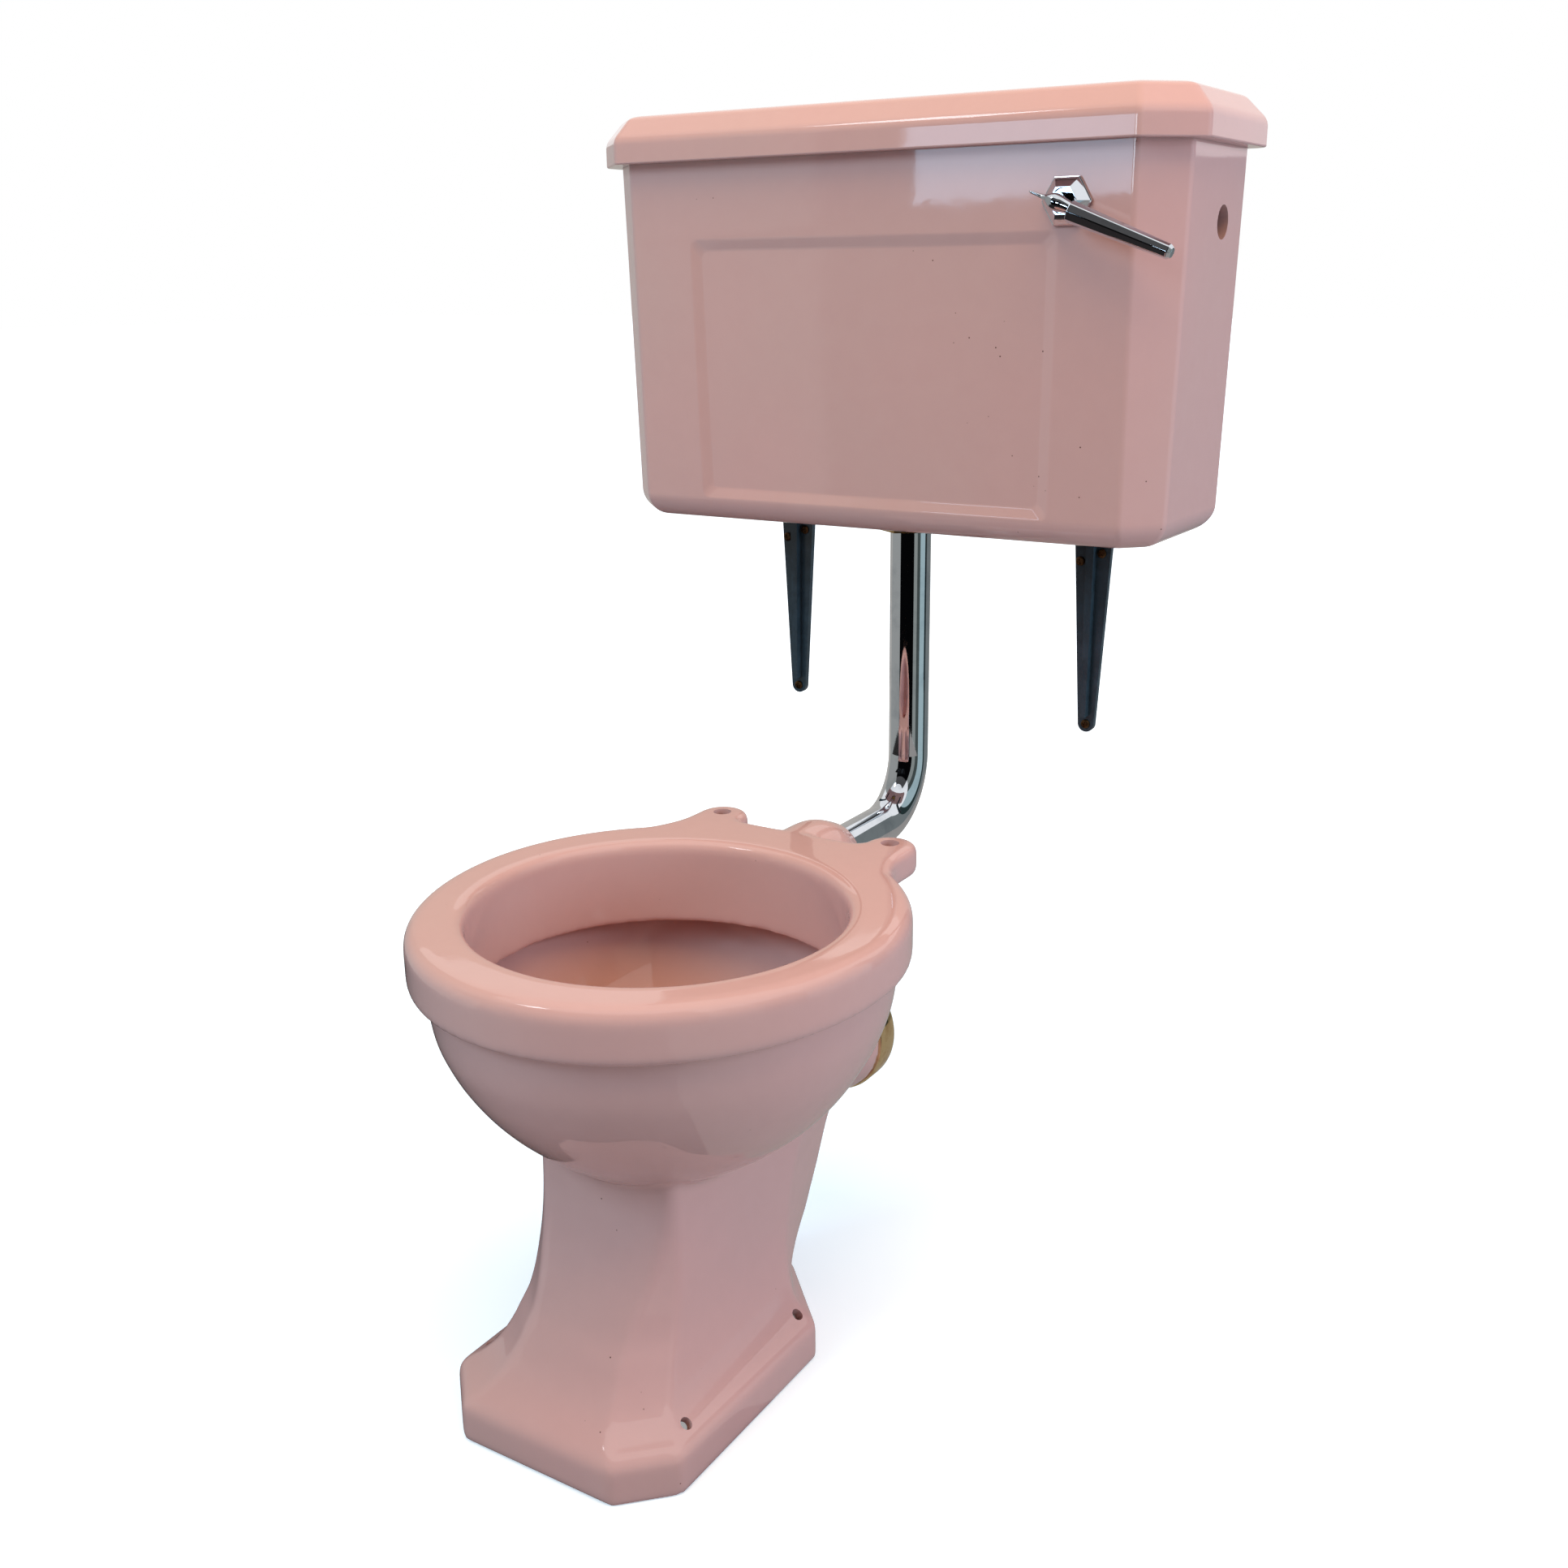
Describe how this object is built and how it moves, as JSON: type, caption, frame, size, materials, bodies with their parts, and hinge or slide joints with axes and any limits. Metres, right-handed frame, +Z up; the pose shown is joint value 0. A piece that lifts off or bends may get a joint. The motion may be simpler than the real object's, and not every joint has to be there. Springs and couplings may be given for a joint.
{
  "type": "low-level toilet",
  "caption": "Low-level washdown toilet: glazed pan on a faceted pedestal, lever-flush cistern on wall brackets, a bent flush pipe, siphon and float valve.",
  "frame": {"origin": "on the floor, under the middle of the set's box", "axes": "+Z up, +Y towards the wall, +X to the right of a person who faces the wall"},
  "size_m": [0.5944, 0.703, 1.001],
  "materials": {
    "glaze": "glossy dusky pink glaze",
    "chrome": "mirror chrome plate",
    "polished_brass": "polished",
    "plain_brass": "turned brass",
    "iron": "dark painted",
    "screw_brass": "dull",
    "rubber": "matt black",
    "copper": "spun copper",
    "plastic": "off-white"
  },
  "bodies": {
    "set": {"pan": "glaze", "outlet_collar": "polished_brass", "flush_pipe_seal": "rubber", "flush_pipe": "chrome", "flush_pipe_nut": "plain_brass", "cistern_body": "glaze", "lever_escutcheon": "chrome", "lever_bush": "chrome", "lever_washer": "rubber", "lever_nut": "plain_brass", "siphon_bell": "plastic", "siphon_neck": "plastic", "siphon_washer": "rubber", "siphon_backnut": "plain_brass", "float_valve": "plain_brass", "valve_washer_inner": "rubber", "valve_washer_outer": "rubber", "inlet_backnut": "plain_brass", "arm_pin": "screw_brass", "bracket_left": "iron", "bracket_right": "iron", "bracket_screw_left_1": "screw_brass", "bracket_screw_left_2": "screw_brass", "bracket_screw_left_3": "screw_brass", "bracket_screw_right_1": "screw_brass", "bracket_screw_right_2": "screw_brass", "bracket_screw_right_3": "screw_brass"},
    "lever": {"flush_lever": "chrome", "lever_spindle": "plain_brass", "crank_arm": "plain_brass", "crank_screw": "screw_brass"},
    "link": {"lift_link": "plain_brass"},
    "plunger": {"lift_rod": "plain_brass", "siphon_plate": "plastic", "siphon_diaphragm": "rubber"},
    "float": {"float_arm": "plain_brass", "float_ball": "copper"},
    "piston": {"valve_piston": "plastic"},
    "lid": {"cistern_lid": "glaze"}
  },
  "joints": [
    {"name": "lever_turn", "type": "hinge", "parent": "set", "child": "lever", "pos_m": [0.19474, 0.1415, 0.9155], "axis": [0, 1, 0], "range_deg": [0, 28], "stiffness_Nm_per_rad": 1, "springref_deg": -17.19},
    {"name": "link_swing", "type": "hinge", "parent": "lever", "child": "link", "pos_m": [0.08247, 0.2535, 0.8957], "axis": [0, 1, 0], "range_deg": [-28.01, 0]},
    {"name": "rod_lift", "type": "slide", "parent": "set", "child": "plunger", "axis": [0, 0, 1], "range_m": [0, 0.0552]},
    {"name": "arm_turn", "type": "hinge", "parent": "set", "child": "float", "pos_m": [-0.20204, 0.278, 0.888], "axis": [0, -1, 0], "range_deg": [0, 30]},
    {"name": "piston_push", "type": "slide", "parent": "set", "child": "piston", "axis": [-1, 0, 0], "range_m": [0, 0.0076]},
    {"name": "lid_lift", "type": "slide", "parent": "set", "child": "lid", "axis": [0, 0, 1], "range_m": [0, 0.12]}
  ],
  "couplings": [
    {"joint": "link_swing", "follows": "lever_turn", "ratio": -1},
    {"joint": "rod_lift", "follows": "lever_turn", "m_per_rad": 0.11259},
    {"joint": "piston_push", "follows": "arm_turn", "m_per_rad": 0.0144}
  ]
}
